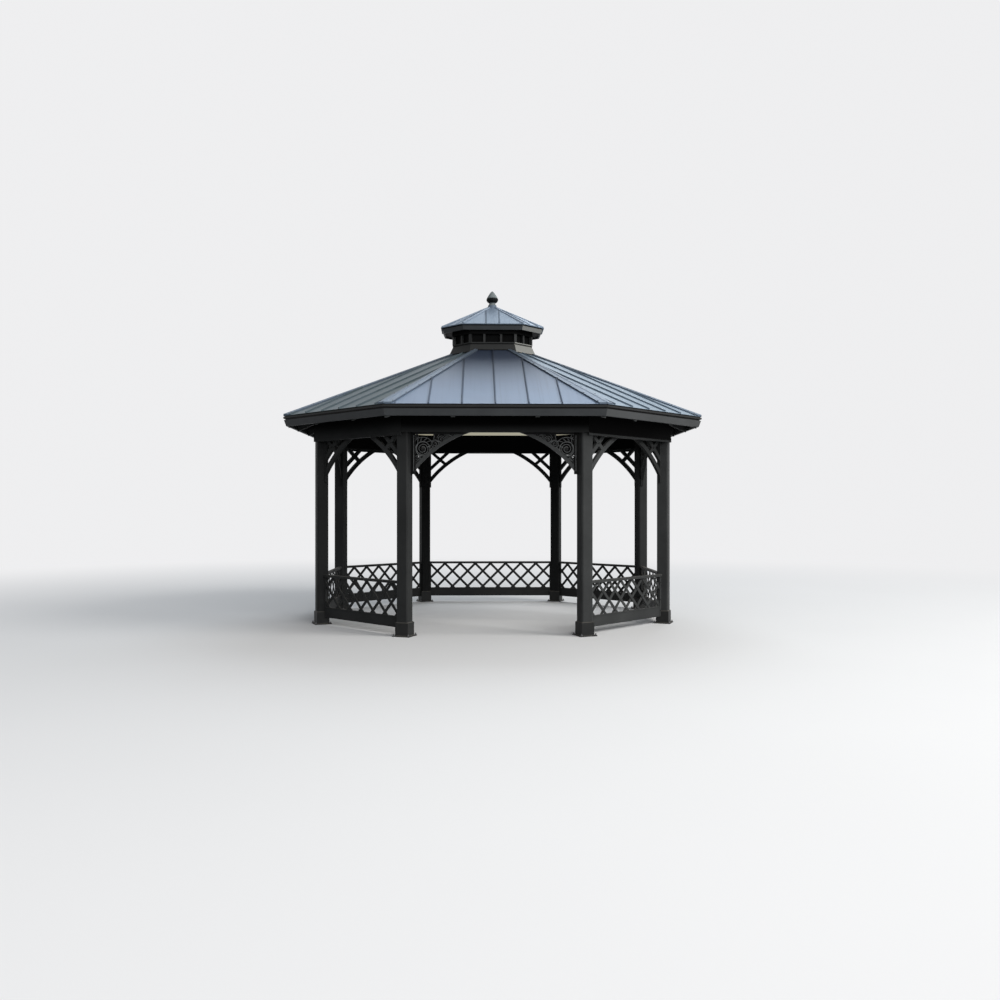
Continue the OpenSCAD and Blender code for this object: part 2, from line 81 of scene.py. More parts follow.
class Wire:
    """One output socket of a node tree."""

    def __init__(self, shop, socket):
        self.shop, self.socket = shop, socket

    def math(self, operation, *others):
        values = dict(enumerate((self, *others)))
        return self.shop.add("ShaderNodeMath", {"operation": operation}, values)

    def __add__(self, other):
        return self.math("ADD", other)

    def __mul__(self, other):
        return self.math("MULTIPLY", other)

    def __sub__(self, other):
        return self.math("SUBTRACT", other)

    def __rsub__(self, other):
        return self * -1.0 + other

    def __truediv__(self, other):
        return self.math("DIVIDE", other)

    __radd__, __rmul__ = __add__, __mul__

    def ramp(self, low, high):
        """0 below low, 1 above high and smooth between."""
        return self.shop.add("ShaderNodeMapRange", {"interpolation_type": "SMOOTHSTEP"},
                             {0: self, 1: low, 2: high})


class Shop:
    """A material or a world, and the nodes in it."""

    def __init__(self, owner):
        self.owner = owner
        owner.use_nodes = True
        self.tree = owner.node_tree
        self.tree.nodes.clear()

    def add(self, kind, settings=None, sockets=None, out=0):
        node = self.tree.nodes.new(kind)
        for key, value in (settings or {}).items():
            setattr(node, key, value)
        for key, value in (sockets or {}).items():
            if isinstance(value, Wire):
                self.tree.links.new(value.socket, node.inputs[key])
            else:
                node.inputs[key].default_value = value
        return Wire(self, node.outputs[out]) if node.outputs else None

    def place(self):
        return self.add("ShaderNodeTexCoord", out="Object")

    def facing(self, kind="Normal"):
        return self.split(self.add("ShaderNodeNewGeometry", out=kind))

    def split(self, vector):
        return [self.add("ShaderNodeSeparateXYZ", None, {0: vector}, out) for out in range(3)]

    def join(self, x, y, z):
        return self.add("ShaderNodeCombineXYZ", None, {0: x, 1: y, 2: z})

    def noise(self, vector, scale, detail=3.0, rough=0.5):
        return self.add("ShaderNodeTexNoise", None, {
            "Vector": vector, "Scale": scale, "Detail": detail, "Roughness": rough})

    def mix(self, mask, a, b):
        a, b = [v if isinstance(v, Wire) else (*v, 1.0) for v in (a, b)]
        return self.add("ShaderNodeMix", {"data_type": "RGBA"}, {0: mask, 6: a, 7: b}, out=2)

    def bump(self, height, distance, strength=1.0):
        return self.add("ShaderNodeBump", None, {
            "Height": height, "Distance": distance, "Strength": strength})

    def finish(self, **sockets):
        """The usual ending: one Principled shader into the output."""
        named = {key.replace("_", " ").title().replace("Ior", "IOR"): value
                 for key, value in sockets.items()}
        shader = self.add("ShaderNodeBsdfPrincipled", None, named)
        self.add("ShaderNodeOutputMaterial", None, {0: shader})
        return self.owner


def material_shop(name):
    return Shop(bpy.data.materials.new(name))


# %% [markdown]
# The frame is coated in a satin charcoal paint. Up close such a coat has a faint
# orange peel; from a few steps away one sees cloudy patches where rain has dried,
# faint upright runs, and pale dust on ledges and near the ground. Painted shade fills
# the recessed joints under the eaves, which are given as pairs of heights.
#
# The lamps of this scene are large and soft, so they leave out much of the contrast of
# low sun. The materials carry it instead, as painted light and shade. The paint comes
# in several strengths, paler to the right and paler still on the eaves. Painted shade
# stands for the shade of the eaves, and painted sunlight for the sun on one side of
# the lantern. Under other lamps, one plain coat suits all pieces.

# %% Charcoal paint
CHARCOAL = (0.0205, 0.0213, 0.0213)
# a paler strength of the charcoal for the eaves: painted light on their outer faces
EAVES_CHARCOAL = (0.0575, 0.0615, 0.0645)
DUST = (0.11, 0.103, 0.090)
PAINTED_SHADE_BLACK = (0.001, 0.001, 0.001)
PAINTED_SUN_TINT = (0.30, 0.30, 0.28)
# heights where the painted shade of the eaves starts and closes, and where a joint starts and
# ends
POST_SHADE_HEIGHTS, TAIL_SHADE_HEIGHTS = (2.27, 2.46), (2.60, 2.66)
EAVES_JOINT, LANTERN_JOINT = (2.6125, 2.6335), (3.9305, 3.9555)


def charcoal_paint(name, colour, dust=1.0, shine=0.16, gaps=(), painted_shade=None, painted_sunlight=0.0):
    shop = material_shop(name)
    where = shop.place()
    x, y, z = shop.split(where)
    clouds = shop.noise(where, 2.3, 5.0, 0.6)
    runs = shop.noise(shop.join(x * 30.0, y * 30.0, z * 2.2), 1.0, 4.0, 0.6)
    specks = shop.noise(where, 160.0, 2.0)
    ledge = shop.facing()[2].ramp(0.35, 0.85) * clouds.ramp(0.15, 0.6)
    splash = (1.0 - z.ramp(0.0, 0.26)) * clouds.ramp(0.35, 0.7)
    dusty = (ledge * 0.7 + splash * 0.08 + runs.ramp(0.55, 0.9) * 0.05) * dust
    tone = shop.mix(clouds.ramp(0.25, 0.75),
                    [c * 0.84 for c in colour], [c * 1.18 for c in colour])
    tone = shop.mix(dusty, tone, DUST)
    # painted sunlight: faces that turn to the right grow paler
    if painted_sunlight:
        tone = shop.mix(shop.facing()[0].ramp(0.3, 0.65) * painted_sunlight, tone, PAINTED_SUN_TINT)
    # painted shade in the recessed joints
    for low, high in gaps:
        inside = z.ramp(low, low + 0.002) - z.ramp(high - 0.002, high)
        tone = shop.mix(inside * 0.95, tone, PAINTED_SHADE_BLACK)
    # painted shade of the eaves: black above the given heights
    if painted_shade:
        tone = shop.mix(z.ramp(*painted_shade), tone, PAINTED_SHADE_BLACK)
    peel = shop.noise(where, 260.0, 1.0)
    return shop.finish(
        base_color=tone,
        roughness=0.46 + clouds * 0.14 + dusty * 0.3,
        specular_ior_level=shine,
        normal=shop.bump(peel * 0.7 + specks * 0.3, 0.0004, 0.35))


def strength(factor):
    """The charcoal's own colour, paler or darker by a factor."""
    return [c * factor for c in CHARCOAL]


# Every post coat has painted shade of the eaves at the head of the post.
def post_coat(name, factor):
    return charcoal_paint(name, strength(factor), dust=0.6, shine=0.05, painted_shade=POST_SHADE_HEIGHTS)


frame_paint = charcoal_paint("charcoal_paint", CHARCOAL)
# Lit and shaded strengths of one charcoal for the posts and panels: painted light and shade.
post_paint = post_coat("charcoal_paint_on_the_posts", 1.68)
post_paint_painted_sunlit = post_coat("charcoal_paint_painted_sunlit", 2.5)
post_paint_painted_shaded = post_coat("charcoal_paint_painted_shaded", 1.15)
back_post_paint_painted_shaded = post_coat("charcoal_paint_painted_shaded_back_posts", 0.7)
# Painted shade: a far darker strength for what stands under the roof.
painted_shade_paint = charcoal_paint("charcoal_paint_painted_shade_under_the_roof", strength(0.16), 0.1, 0.025)
# Painted light: a far paler strength for the rafter tails, with painted shade above.
tail_paint_painted_light = charcoal_paint("charcoal_paint_painted_light_on_the_rafter_tails", strength(5), 0.1, 0.025,
                            painted_shade=TAIL_SHADE_HEIGHTS)
# The eaves and, far more, the lantern carry painted sunlight on their right-hand faces.
eaves_paint = charcoal_paint("charcoal_paint_on_the_eaves", EAVES_CHARCOAL, 0.6,
                             gaps=[EAVES_JOINT], painted_sunlight=0.07)
lantern_eaves = charcoal_paint("charcoal_paint_on_the_lantern_eaves", EAVES_CHARCOAL, 0.6,
                               gaps=[LANTERN_JOINT], painted_sunlight=0.65)
lantern_paint = charcoal_paint("charcoal_paint_on_the_lantern", CHARCOAL, painted_sunlight=0.75)
paints = (frame_paint, post_paint, post_paint_painted_sunlit, post_paint_painted_shaded, back_post_paint_painted_shaded, painted_shade_paint,
          tail_paint_painted_light, eaves_paint, lantern_eaves, lantern_paint)
print("paints:", *[m.name for m in paints])

# %% [markdown]
# Castings are painted the same charcoal, but the sand they were poured in leaves a
# slightly pebbled skin under the paint. Here they take paler strengths of it, which
# is painted light. On the scrolled brackets the beads take the palest, a painted
# highlight, and all that lies deeper than the proud rim and the beads, next to the
# post and under the beam, is dark with painted shade. How proud a point is, is its
# distance from the bracket's middle plane; that plane and the corner come from its
# box. The plain brackets nearest the entrance are paler than the rest, as the posts
# there are, and the others darker with painted shade; the finial is dark with painted
# shade on its underside.

# %% Painted castings
# distances over which the painted shade gives way: from the middle plane at the strips and at
# the rim, in from the bracket's outer end, and down from the beam
STRIP_FACE, RIM_FACE = (0.0112, 0.0130), (0.0203, 0.0212)
STILE_EDGE, BEAM_EDGE = (0.061, 0.058), (0.024, 0.020)
# how far back the paler brackets reach, and the heights of the finial's underside in painted
# shade
PALER_BRACKETS_REACH = (-1.55, -1.35)
BOWL_FOOT, BOWL_TOP = (4.325, 4.340), (4.388, 4.408)
PAINTED_SHADE_ON_CASTINGS = (0.001, 0.0012, 0.001)


def scrolls_painted_shade(x, y, z):
    """Painted shade: 1 in the hollows of the scrolled brackets, 0 on what stands proud."""
    (outer, front, _), (_, back, top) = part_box("scroll_bracket_left")
    proud = (y - (front + back) / 2).math("ABSOLUTE")
    deep = 1.0 - proud.ramp(*STRIP_FACE)
    beside_post = x.math("ABSOLUTE").ramp(*[-outer - edge for edge in STILE_EDGE])
    under_beam = z.ramp(*[top - edge for edge in BEAM_EDGE]) * 0.85
    corner = beside_post.math("MAXIMUM", under_beam) * (1.0 - proud.ramp(*RIM_FACE))
    return deep.math("MAXIMUM", corner)


def brackets_painted_shade(x, y, z):
    """Painted shade: 0 on the castings next to the front posts, part of the way to 1 elsewhere.
    """
    return y.ramp(*PALER_BRACKETS_REACH) * 0.55


def finial_painted_shade(x, y, z):
    """Painted shade: 1 on the underside of the finial, 0 on its foot and tip."""
    return z.ramp(*BOWL_FOOT) - z.ramp(*BOWL_TOP)


def casting_paint(name, colour, painted_shade_mask):
    shop = material_shop(name)
    where = shop.place()
    sand = shop.noise(where, 420.0, 3.0, 0.7)
    clouds = shop.noise(where, 6.0, 4.0, 0.6)
    dusty = shop.facing()[2].ramp(0.35, 0.9) * clouds.ramp(0.3, 0.7) * 0.4
    tone = shop.mix(clouds, [c * 0.7 for c in colour], [c * 1.3 for c in colour])
    tone = shop.mix(dusty, tone, DUST)
    # painted shade wherever the mask is 1
    tone = shop.mix(painted_shade_mask(*shop.split(where)) * 0.96, tone, PAINTED_SHADE_ON_CASTINGS)
    return shop.finish(
        base_color=tone,
        roughness=0.44 + clouds * 0.2,
        specular_ior_level=0.06,
        normal=shop.bump(sand, 0.0007, 0.5))


# paler strengths of the charcoal on the castings: painted light
cast_paint = casting_paint("painted_casting", strength(2.7), brackets_painted_shade)
scroll_paint = casting_paint("painted_scrollwork", strength(3.0), scrolls_painted_shade)
# painted highlight: the beads take the palest strength
bead_paint_painted_highlight = casting_paint("paint_on_the_beads_painted_highlight", strength(6.5), scrolls_painted_shade)
finial_paint = casting_paint("weathered_casting_of_the_finial", (0.200, 0.228, 0.232),
                             finial_painted_shade)
print("castings:", *[m.name for m in (cast_paint, scroll_paint, bead_paint_painted_highlight, finial_paint)])

# %% [markdown]
# The roof is folded from long pans of blue-grey coated steel. No two pans reflect
# quite alike, wide flat pans ripple a little, and rain leaves faint trails down the
# slope. To follow the slope, the pattern finds the direction across it from the
# surface's own normal: a level line at right angles to the way the slope faces. On
# the narrow slopes the seams are half a pan off the middle, and the middle itself is
# off to one side on the four slanting ones, because the plan is longer than deep. The
# same measure gives the distance to the nearest seam, where dirt and painted shade
# draw a dark line; painted shade also darkens every face that stands upright, such as
# the sides of the seams. The two colours of a sheet, for the foot and the head of the
# slope, are a painted reflection of the sky. The right-hand slopes take a paler sheet
# and the left-hand ones a darker one, which is painted light and shade.

# %% Coated roof sheet
STAIN = (0.075, 0.078, 0.072)
GLINT = (0.30, 0.34, 0.41)
SEAM_DIRT_AND_SHADE = (0.012, 0.014, 0.017)
EAVES_LEVEL, CURB_LEVEL = 2.67, 3.62
OFF_MIDDLE = 0.376
# a pan wider than any slope, for pieces without seams; more seams than any slope has
ONE_PAN, ALL_SEAMS = 9.0, 99


def roof_sheet(name, pan, shift, low, high, off_middle=OFF_MIDDLE, bottom=EAVES_LEVEL,
               top=CURB_LEVEL, seams=ALL_SEAMS, dirt_and_shade=0.0):
    shop = material_shop(name)
    where = shop.place()
    x, y, z = shop.split(where)
    nx, ny, nz = shop.facing("True Normal")
    square = nx * nx + ny * ny + 0.0001
    size = square.math("SQRT")
    across = (nx * y - ny * x) / size
    place = (across + nx * ny / square * off_middle) / pan + shift
    pans = place.math("FLOOR")
    beside = (place - pans - 0.5).math("ABSOLUTE") * -pan + pan / 2
    seamless = (place - shift).math("ABSOLUTE").ramp(seams / 2 - 0.3, seams / 2 - 0.2)
    line = 1.0 - beside.ramp(0.005, 0.015).math("MAXIMUM", seamless) * nz.ramp(0.3, 0.6)
    slope = (nx * 3.0 + ny * 7.0).math("ROUND")
    tint = shop.add("ShaderNodeTexWhiteNoise", {"noise_dimensions": "2D"},
                    {"Vector": shop.join(pans, slope, 0.0)})
    trails = shop.noise(shop.join(across * 26.0, z * 0.9, slope), 1.0, 5.0, 0.62)
    clouds = shop.noise(where, 1.7, 5.0, 0.6)
    ripple = shop.noise(shop.join(across * 2.4, z * 3.2, slope), 1.0, 1.0)
    height = 1.0 - z.ramp(bottom, top)
    # painted reflection of the sky: paler at the foot of the slope, darker at its head
    tone = shop.mix(height * (0.72 + clouds * 0.45), high, low)
    tone = shop.mix(trails.ramp(0.5, 0.86) * 0.3, tone, STAIN)
    tone = shop.mix(tint * 0.1, tone, GLINT)
    # dirt and painted shade along the seams; painted shade on every upright face
    tone = shop.mix(line * dirt_and_shade, tone, SEAM_DIRT_AND_SHADE)
    grain = shop.noise(where, 300.0, 1.0)
    return shop.finish(
        base_color=tone,
        metallic=0.25,
        roughness=0.42 + clouds * 0.12 + trails * 0.08 + line * 0.2,
        specular_ior_level=0.25,
        normal=shop.bump(ripple * 6.0 + grain * 0.1, 0.0016, 0.6))


sheet_wide = roof_sheet("roof_sheet_wide_slopes", 0.377, 0.0,
                        (0.150, 0.206, 0.294), (0.013, 0.022, 0.043), top=3.53, dirt_and_shade=0.42)
# painted light and shade: a paler sheet for the right-hand slopes, a darker one for the left
sheet_painted_sunlit = roof_sheet("roof_sheet_painted_sunlit_side", 0.340, 0.5,
                         (0.194, 0.256, 0.315), (0.154, 0.202, 0.250), dirt_and_shade=0.22)
sheet_painted_shaded = roof_sheet("roof_sheet_painted_shaded_side", 0.340, 0.5,
                          (0.080, 0.111, 0.124), (0.062, 0.087, 0.098), dirt_and_shade=0.15)
sheet_caps = roof_sheet("roof_sheet_hip_caps", ONE_PAN, 0.5,
                        (0.150, 0.200, 0.265), (0.062, 0.083, 0.110), dirt_and_shade=0.3)
sheet_lantern = roof_sheet("roof_sheet_lantern", 0.176, 0.5,
                           (0.210, 0.273, 0.350), (0.195, 0.250, 0.325),
                           off_middle=0.283, bottom=3.94, top=4.3, seams=2, dirt_and_shade=0.3)
# painted highlight: a pale sheet for the lantern's rolls
sheet_rolls_painted_highlight = roof_sheet("roof_sheet_lantern_rolls_painted_highlight", ONE_PAN, 0.5,
                         (0.300, 0.360, 0.440), (0.290, 0.350, 0.430))
sheets = (sheet_wide, sheet_painted_sunlit, sheet_painted_shaded, sheet_caps, sheet_lantern, sheet_rolls_painted_highlight)
print("sheets:", *[m.name for m in sheets])

# %% [markdown]
# Seen from inside, narrow boards lie level across the rafters, stained almost black.
# On a slope of one in 2.1, a board 120 mm wide climbs 52 mm, so the joints are lines
# of equal height and can be drawn from the height alone.

# %% Stained boards


def stained_boards(name, climb=0.0517):
    shop = material_shop(name)
    where = shop.place()
    x, y, z = shop.split(where)
    course = (z / climb).math("FLOOR")
    along = (z / climb).math("FRACT")
    groove = (1.0 - along.ramp(0.0, 0.09)) + along.ramp(0.93, 1.0)
    one = shop.add("ShaderNodeTexWhiteNoise", {"noise_dimensions": "1D"}, {"W": course})
    grain = shop.noise(shop.join(x * 3.0, y * 3.0, z * 130.0 + one * 9.0), 1.0, 6.0, 0.65)
    tone = shop.mix(grain, (0.004, 0.004, 0.003), (0.013, 0.011, 0.009))
    tone = shop.mix(one * 0.4, tone, (0.008, 0.007, 0.006))
    tone = shop.mix(groove * 0.85, tone, (0.002, 0.002, 0.002))
    return shop.finish(
        base_color=tone,
        roughness=0.55 + grain * 0.2,
        specular_ior_level=0.1,
        normal=shop.bump(grain * 0.15 - groove, 0.003, 0.7))


boards = stained_boards("stained_boards")

# %% [markdown]
# Long opal battens glow softly over the back bays. The glow is painted light: an
# emission that stands for a pale band of daylight over the back beam. Their covers
# are plain plastic, each strip even and a little warmer at its ends.

# %% Opal batten


def opal(name):
    shop = material_shop(name)
    where = shop.place()
    x, _, _ = shop.split(where)
    frost = shop.noise(where, 90.0, 2.0)
    middle = 1.0 - (x * x).ramp(0.5, 1.0)
    tone = shop.mix(middle, (0.58, 0.54, 0.40), (0.66, 0.63, 0.49))
    return shop.finish(
        base_color=tone,
        roughness=0.45 + frost * 0.1,
        # painted light: the cover glows by emission
        emission_color=tone,
        emission_strength=0.52)


opal_cover_painted_daylight = opal("opal_cover_painted_daylight")

# %% [markdown]
# Bolts and washers are zinc plated, and the plating has dulled: grey, cloudy and
# rougher where the wet has stood on it, with a trace of brown low down.

# %% Dull zinc


def dull_zinc(name):
    shop = material_shop(name)
    where = shop.place()
    clouds = shop.noise(where, 70.0, 4.0, 0.6)
    rust = shop.noise(where, 150.0, 5.0, 0.7).ramp(0.6, 0.75) * 0.5
    tone = shop.mix(clouds, (0.09, 0.09, 0.095), (0.17, 0.17, 0.175))
    tone = shop.mix(rust, tone, (0.11, 0.055, 0.03))
    return shop.finish(
        base_color=tone,
        metallic=0.7 - rust * 0.6,
        roughness=0.42 + clouds * 0.25,
        normal=shop.bump(clouds, 0.0003, 0.4))


zinc = dull_zinc("dull_zinc")

# %% Give every solid its finish
# Posts and panels take the strengths of painted light and shade by where they stand.
FINISHES = {
    "roof_boards": boards,
    "light_batten": opal_cover_painted_daylight,
    "roof_front": sheet_wide, "roof_back": sheet_wide, "hip_caps": sheet_caps,
    "roof_front_left": sheet_painted_shaded, "roof_left": sheet_painted_shaded, "roof_back_left": sheet_painted_shaded,
    "lantern_roof": sheet_lantern,
    "ring_beams": painted_shade_paint, "wall_plate": painted_shade_paint,
    "hip_rafters": tail_paint_painted_light, "common_rafters": tail_paint_painted_light,
    "lantern_head": painted_shade_paint,
    "eaves_fascia": eaves_paint, "lantern_fascia": lantern_eaves,
    "lantern_sill": lantern_paint, "lantern_curb": lantern_paint,
    "post_back_left": back_post_paint_painted_shaded, "post_back_right": back_post_paint_painted_shaded,
    "post_front_right": post_paint_painted_sunlit, "post_right_front": post_paint_painted_sunlit,
    "post_front_left": post_paint, "post_left_back": post_paint, "post_right_back": post_paint,
    "post_left_front": post_paint_painted_shaded,
    "panel_front_left": post_paint, "panel_front_right": post_paint_painted_sunlit,
    "scroll_bracket_left": scroll_paint, "scroll_bracket_right": scroll_paint,
    "plain_brackets": cast_paint, "finial": finial_paint,
}


def paint(node, material):
    mesh = nodes[node].data
    mesh.materials.clear()
    mesh.materials.append(material)


for node in nodes:
    usual = sheet_painted_sunlit if node.startswith("roof_") else frame_paint
    paint(node, FINISHES.get(node, usual))
print("painted", len(nodes), "solids")

# %% [markdown]
# The small pieces are made by hand. They all need the same three moves: draw a round
# piece up ring by ring from its foot, copy a pattern to many places and join the
# copies, and hand the finished piece to the frame. A six-sided ring gives a nut and a
# four-sided one a square fillet, so one function makes them all.

# %% Moves that every small piece needs


def turned(name, sides, rings, spin=0.0):
    """A piece drawn up from its foot; rings are (radius, height) from the bottom."""
    bpy.ops.object.select_all(action="DESELECT")
    radius, height = rings[0]
    bpy.ops.mesh.primitive_circle_add(vertices=sides, radius=radius, fill_type="NGON",
                                      location=(0, 0, height), rotation=(0, 0, spin))
    piece = bpy.context.object
    piece.name = piece.data.name = name
    bpy.ops.object.transform_apply(location=True, rotation=True, scale=True)
    bpy.ops.object.mode_set(mode="EDIT")
    bpy.ops.mesh.select_all(action="SELECT")
    for (r0, h0), (r1, h1) in zip(rings, rings[1:]):
        bpy.ops.mesh.extrude_region_move(TRANSFORM_OT_translate={"value": (0, 0, h1 - h0)})
        bpy.ops.transform.resize(value=(r1 / r0, r1 / r0, 1), center_override=(0, 0, h1))
    bpy.ops.mesh.select_all(action="SELECT")
    bpy.ops.mesh.normals_make_consistent(inside=False)
    bpy.ops.object.mode_set(mode="OBJECT")
    return piece


def join(name, pieces):
    bpy.ops.object.select_all(action="DESELECT")
    for piece in pieces:
        piece.select_set(True)
    bpy.context.view_layer.objects.active = pieces[0]
    if len(pieces) > 1:
        bpy.ops.object.join()
    joined = bpy.context.view_layer.objects.active
    joined.name = joined.data.name = name
    return joined


def set_down(name, data):
    """A new object for a curve or a mesh, selected and active."""
    piece = bpy.data.objects.new(name, data)
    bpy.context.collection.objects.link(piece)
    bpy.ops.object.select_all(action="DESELECT")
    piece.select_set(True)
    bpy.context.view_layer.objects.active = piece
    return piece


def stamp(name, pattern, places):
    """Copies of the pattern at each place, as one piece."""
    copies = []
    for place in places:
        twin = pattern.copy()
        twin.data = pattern.data.copy()
        bpy.context.collection.objects.link(twin)
        twin.data.transform(place)
        copies.append(twin)
    return join(name, copies)


def scrap(*patterns):
    for pattern in patterns:
        bpy.data.objects.remove(pattern, do_unlink=True)


def hand_over(piece, material):
    piece.data.materials.clear()
    piece.data.materials.append(material)
    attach(piece, "root")


# %% [markdown]
# Everything small is placed from the frame itself. A post's box gives its middle, and
# the two posts at the ends of a bay give that bay's own directions: along it, inwards
# and up. A detail drawn once in those directions then fits all eight bays.

# %% Posts and bays
POSTS = {"front_left": 247.5, "front_right": -67.5, "right_front": -22.5, "right_back": 22.5,
         "back_right": 67.5, "back_left": 112.5, "left_back": 157.5, "left_front": 202.5}
PANELS = ["front_right", "right", "back_right", "back", "back_left", "left", "front_left"]
POST_FACE = 0.072 / math.cos(math.radians(22.5))
INWARDS = Matrix.Rotation(-math.pi / 2, 4, "X")
OUTWARDS = Matrix.Rotation(math.pi / 2, 4, "X")


def foot(post):
    low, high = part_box("post_" + post)
    return Vector(((low[0] + high[0]) / 2, (low[1] + high[1]) / 2, 0))


def post_frame(post):
    return Matrix.Translation(foot(post)) @ Matrix.Rotation(math.radians(POSTS[post]), 4, "Z")


def bay_frame(first, second):
    """Axes of a bay: x along it, y inwards, z up, from the middle of its foot."""
    along = (foot(second) - foot(first)).normalized()
    inwards = Vector((-along.y, along.x, 0))
    middle = (foot(first) + foot(second)) / 2
    rows = [(along[i], inwards[i], (0, 0, 1)[i], middle[i]) for i in range(3)]
    return Matrix([*rows, (0, 0, 0, 1)]), (foot(second) - foot(first)).length / 2


def both_faces(frame_of_bay, along, depth, high):
    """Two places at the same spot, one on each face of what stands in the bay."""
    return [frame_of_bay @ Matrix.Translation((along, side * depth, high)) @ turn
            for turn, side in ((INWARDS, 1), (OUTWARDS, -1))]


order = list(POSTS)
bays = {"entrance": bay_frame(order[0], order[1])}
for panel, first, second in zip(PANELS, order[1:], order[2:] + order[:1]):
    bays[panel] = bay_frame(first, second)
for bay, (_, half) in bays.items():
    print(bay, "half length", round(half, 4))

# %% [markdown]
# Each foot plate is held by four anchor bolts. A washer, a nut and the threaded end
# of the stud are drawn as three turned pieces with few sides, because thirty-two of
# them stand around the building. A small weld fillet joins plate and plinth casing.

# %% Anchor bolts and welds at the feet
ANCHOR = 0.094
PLATE_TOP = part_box("foot_plates")[1][2]
PLINTH_HALF = 0.082


def anchor_bolt():
    t = PLATE_TOP
    washer = turned("washer", 18, [(0.0125, t), (0.0130, t + 0.0006), (0.0130, t + 0.0022),
                                   (0.0122, t + 0.003)])
    nut = turned("nut", 6, [(0.0098, t + 0.003), (0.0110, t + 0.0045), (0.0110, t + 0.0115),
                            (0.0097, t + 0.013)])
    stud = turned("stud", 12, [(0.0058, 0.001), (0.0058, t + 0.022), (0.0042, t + 0.0238)])
    return join("anchor_bolt", [washer, nut, stud])


def weld():
    corner = math.sqrt(2)
    rings = [((PLINTH_HALF + 0.007) * corner, PLATE_TOP),
             ((PLINTH_HALF + 0.003) * corner, PLATE_TOP + 0.003),
             ((PLINTH_HALF + 0.0005) * corner, PLATE_TOP + 0.007)]
    return turned("weld", 4, rings, spin=math.pi / 4)


bolt, fillet = anchor_bolt(), weld()
corners = [(x * ANCHOR, y * ANCHOR) for x in (-1, 1) for y in (-1, 1)]
for post in POSTS:
    here = post_frame(post)
    places = [here @ Matrix.Translation((x, y, 0)) @ Matrix.Rotation(x + 2 * y, 4, "Z")
              for x, y in corners]
    hand_over(stamp("anchor_bolts_" + post, bolt, places), zinc)
    hand_over(stamp("foot_weld_" + post, fillet, [here]), frame_paint)
scrap(bolt, fillet)
print("anchor bolts:", 4 * len(POSTS))

# %% [markdown]
# The bars of the low panels cross in two layers and are riveted where they cross. A
# rivet head is a flat dome on each side. The crossings follow from the way the bars
# are set out: they run at 45 degrees from points a step apart along the top rail, so
# every row of crossings is half a step lower and half a step over.

# %% Rivets of the lattice
RAIL_UNDER, KICK_TOP, BAR_FACE = 0.606, 0.222, 0.0075
STEP, BACK_STEP = 0.232, 0.243
STILE_WIDE, RIVET_ROOM = 0.024, 0.014


def crossings(bay, half):
    step = BACK_STEP if bay == "back" else STEP
    first = 0.0 if bay == "back" else step / 2
    reach = half - POST_FACE - STILE_WIDE - RIVET_ROOM
    row, found = 1, []
    while RAIL_UNDER - row * step / 2 > KICK_TOP + 0.012:
        for k in range(-12, 13):
            along = first + (k + row / 2) * step
            if abs(along) < reach:
                found.append((along, RAIL_UNDER - row * step / 2))
        row += 1
    return found


def rivet():
    return turned("rivet", 10, [(0.0085, -0.0005), (0.0085, 0.0008), (0.0070, 0.0026),
                                (0.0034, 0.0037)])


head = rivet()
total = 0
for bay in PANELS:
    frame_of_bay, half = bays[bay]
    places = []
    for along, high in crossings(bay, half):
        places += both_faces(frame_of_bay, along, BAR_FACE, high)
    hand_over(stamp("lattice_rivets_" + bay, head, places), frame_paint)
    total += len(places)
scrap(head)
print("rivet heads:", total)

# %% [markdown]
# Panels are held to the posts by cap screws through their end stiles, three at each
# end, and the plain brackets are bolted together where their two struts cross. Both
# heads are round with a rolled edge and a socket in the middle, so the pattern dips
# again in its last rings.

# %% Cap screws
BEAM_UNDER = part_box("ring_beams")[0][2]


def cap_screw(radius, tall):
    socket = radius * 0.45
    return turned("cap_screw", 14, [
        (radius, -0.001), (radius, tall * 0.7), (radius * 0.86, tall), (socket, tall),
        (socket * 0.9, tall * 0.45)])


screw, through_bolt = cap_screw(0.0075, 0.005), cap_screw(0.013, 0.008)
STRUTS_CROSS = (0.170, -0.116)
STILE_SCREWS = (0.17, 0.31, 0.53)
STILE_SEAT, STRUT_SEAT = 0.015, 0.019
for bay in PANELS:
    frame_of_bay, half = bays[bay]
    places, crossing = [], []
    for side in (-1, 1):
        stile = side * (half - POST_FACE - STILE_WIDE / 2)
        for high in STILE_SCREWS:
            places += both_faces(frame_of_bay, stile, STILE_SEAT, high)
        strut = side * (half - POST_FACE - STRUTS_CROSS[0])
        crossing += both_faces(frame_of_bay, strut, STRUT_SEAT, BEAM_UNDER + STRUTS_CROSS[1])
    hand_over(stamp("stile_screws_" + bay, screw, places), frame_paint)
    hand_over(stamp("strut_bolts_" + bay, through_bolt, crossing), cast_paint)
scrap(screw, through_bolt)

# %% [markdown]
# A scroll ends in a small rosette where its strip curls shut. It is a turned boss with
# sixteen sides; pulling every other corner in turns the rim into eight petals. One
# pattern is made at a radius of one and each copy is scaled to its own scroll.

# %% Rosettes on the scrolls
WORK_FACE = 0.011
# place out from the post and under the beam, radius of the ring and of the scroll in
# it, direction of the scroll's outer end in degrees, turns, radius of the rosette
SCROLLS = [
    (0.134, -0.197, 0.083, 0.076, 140, 2.00, 0.026),
    (0.276, -0.137, 0.044, 0.038, 20, 1.25, 0.015),
    (0.354, -0.088, 0.040, 0.034, 200, 1.25, 0.014),
    (0.432, -0.059, 0.031, 0.024, 27, 1.00, 0.011),
    (0.078, -0.303, 0.030, 0.023, 250, 1.00, 0.011),
]


